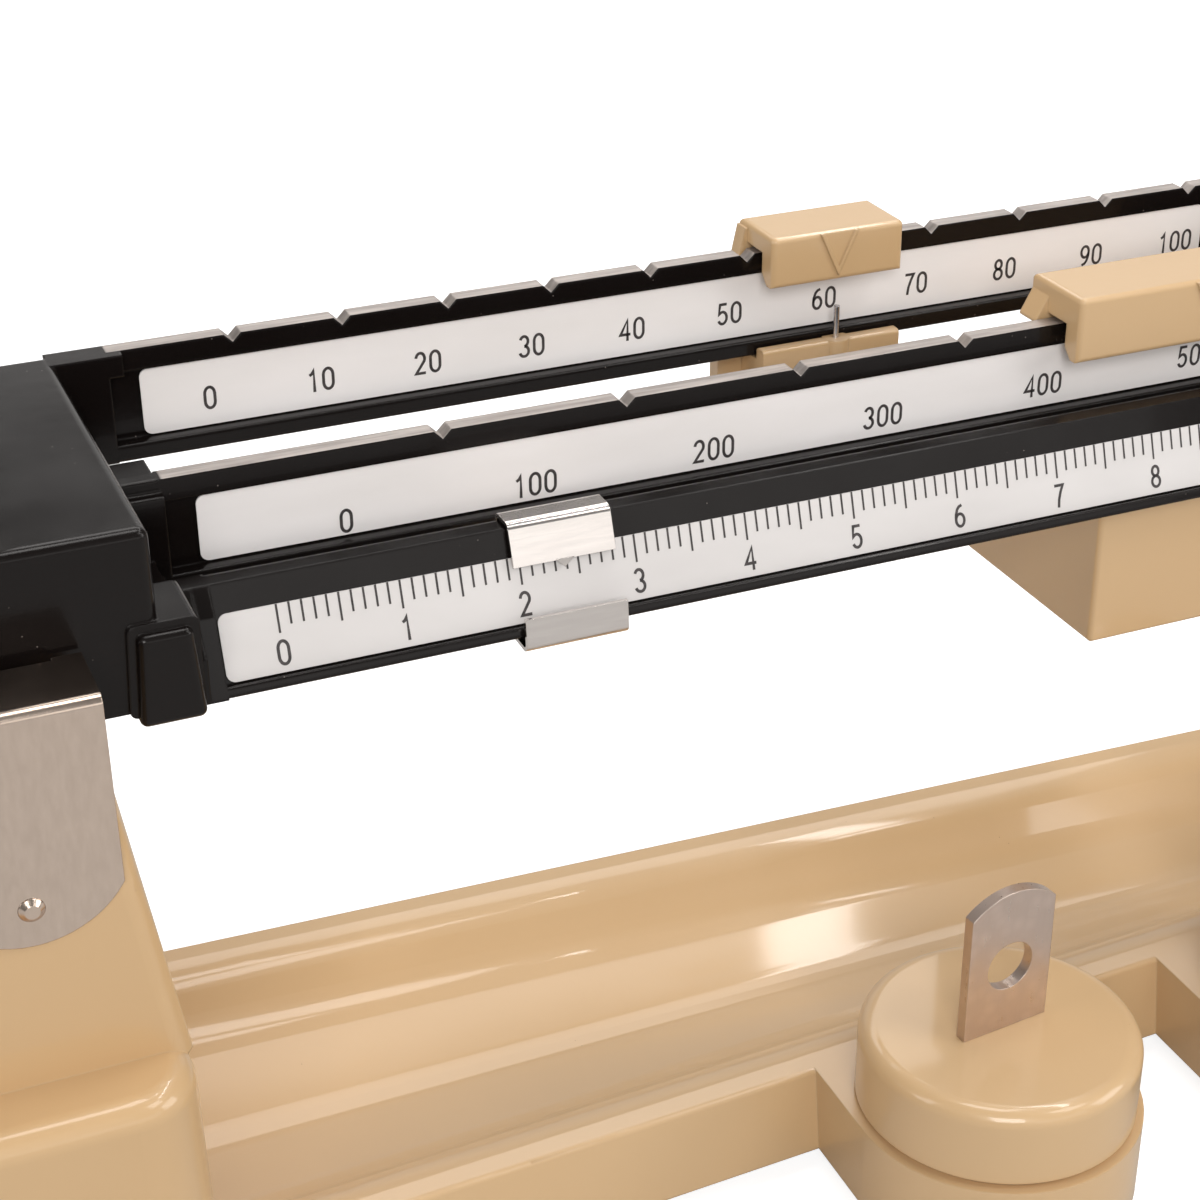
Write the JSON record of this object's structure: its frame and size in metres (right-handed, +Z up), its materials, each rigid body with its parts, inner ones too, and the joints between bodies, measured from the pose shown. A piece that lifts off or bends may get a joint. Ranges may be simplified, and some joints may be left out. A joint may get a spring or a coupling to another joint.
{
  "type": "triple beam balance",
  "caption": "Triple beam balance: cast base with a channel, graduated beams on knife edges, lift-off pan, notched poises, clip rider and tabbed attachment weights.",
  "frame": {"origin": "on the bench, under the middle of the balance", "axes": "+X along the beams towards the pointer, +Y away from the reader, +Z up"},
  "size_m": [0.448, 0.1588, 0.172],
  "materials": {
    "base_enamel": "satin",
    "beam_enamel": "gloss",
    "stainless": "satin",
    "knife_steel": "satin",
    "zinc_plate": "gloss",
    "scale_white": "satin",
    "vane_aluminium": "satin",
    "magnet": "matte",
    "bearing_brass": "satin",
    "foot_rubber": "matte",
    "pad_plastic": "matte"
  },
  "bodies": {
    "base": {"base_casting": "base_enamel", "rubber_feet": "foot_rubber", "front_bearing": "bearing_brass", "rear_bearing": "bearing_brass", "front_bearing_cover": "stainless", "rear_bearing_cover": "stainless", "cover_screws": "zinc_plate", "check_anchor": "stainless", "check_anchor_pin": "zinc_plate", "check_anchor_screws": "zinc_plate", "pointer_stand": "base_enamel", "pointer_stand_screws": "zinc_plate", "index_plate": "scale_white", "index_rivets": "zinc_plate", "damper_magnets": "magnet"},
    "beam": {"beam_casting": "beam_enamel", "front_main_knife": "knife_steel", "rear_main_knife": "knife_steel", "front_pan_knife": "knife_steel", "rear_pan_knife": "knife_steel", "front_scale_plate": "scale_white", "middle_scale_plate": "scale_white", "rear_scale_plate": "scale_white", "weight_hooks": "zinc_plate", "damper_vane": "vane_aluminium", "pointer": "zinc_plate", "pointer_rivets": "zinc_plate", "zero_stud": "zinc_plate"},
    "zero_core": {"zero_core": "bearing_brass"},
    "zero_knob": {"zero_knob": "bearing_brass"},
    "poise_500": {"poise_500": "base_enamel", "poise_500_seat_pin": "zinc_plate"},
    "poise_100": {"poise_100": "base_enamel", "poise_100_seat_pin": "zinc_plate", "poise_100_pointer_pin": "zinc_plate"},
    "rider": {"rider_10": "stainless"},
    "pan_support": {"pan_support": "beam_enamel", "pan_bearings": "bearing_brass", "pan_seat_pads": "pad_plastic", "check_pin": "zinc_plate"},
    "check_link": {"check_link": "vane_aluminium"},
    "pan": {"pan": "stainless", "pan_collar": "stainless"},
    "weight_1": {"weight_1": "base_enamel", "weight_1_tab": "stainless", "weight_1_plug": "magnet"},
    "weight_2": {"weight_2": "base_enamel", "weight_2_tab": "stainless", "weight_2_plug": "magnet"}
  },
  "joints": [
    {"name": "beam_swing", "type": "hinge", "parent": "base", "child": "beam", "pos_m": [-0.084, 0.00445, 0.126], "axis": [0, 1, 0], "range_deg": [-2.5, 2.5]},
    {"name": "pan_level", "type": "hinge", "parent": "beam", "child": "pan_support", "pos_m": [-0.149, 0.00445, 0.126], "axis": [0, 1, 0], "range_deg": [-2.5, 2.5]},
    {"name": "check_swing", "type": "hinge", "parent": "base", "child": "check_link", "pos_m": [-0.084, 0.00445, 0.042], "axis": [0, 1, 0], "range_deg": [-2.5, 2.5]},
    {"name": "pan_lift", "type": "slide", "parent": "pan_support", "child": "pan", "axis": [0, 0, 1], "range_m": [0, 0.05]},
    {"name": "poise_500_slide", "type": "slide", "parent": "beam", "child": "poise_500", "axis": [1, 0, 0], "range_m": [-0.163, 0]},
    {"name": "poise_100_slide", "type": "slide", "parent": "beam", "child": "poise_100", "axis": [1, 0, 0], "range_m": [-0.1164, 0.0776]},
    {"name": "rider_slide", "type": "slide", "parent": "beam", "child": "rider", "axis": [1, 0, 0], "range_m": [-0.0474, 0.1526]},
    {"name": "zero_core_travel", "type": "slide", "parent": "beam", "child": "zero_core", "axis": [1, 0, 0], "range_m": [-0.006, 0.006]},
    {"name": "zero_knob_turn", "type": "hinge", "parent": "zero_core", "child": "zero_knob", "pos_m": [-0.1799, 0.00445, 0.129], "axis": [1, 0, 0], "range_deg": [-1440, 1440]},
    {"name": "weight_1_lift", "type": "slide", "parent": "base", "child": "weight_1", "axis": [0, 0, 1], "range_m": [0, 0.05]},
    {"name": "weight_2_lift", "type": "slide", "parent": "base", "child": "weight_2", "axis": [0, 0, 1], "range_m": [0, 0.05]}
  ],
  "couplings": [
    {"joint": "pan_level", "follows": "beam_swing", "ratio": -1},
    {"joint": "check_swing", "follows": "beam_swing", "ratio": 1},
    {"joint": "zero_core_travel", "follows": "zero_knob_turn", "m_per_rad": 0.00023873}
  ]
}
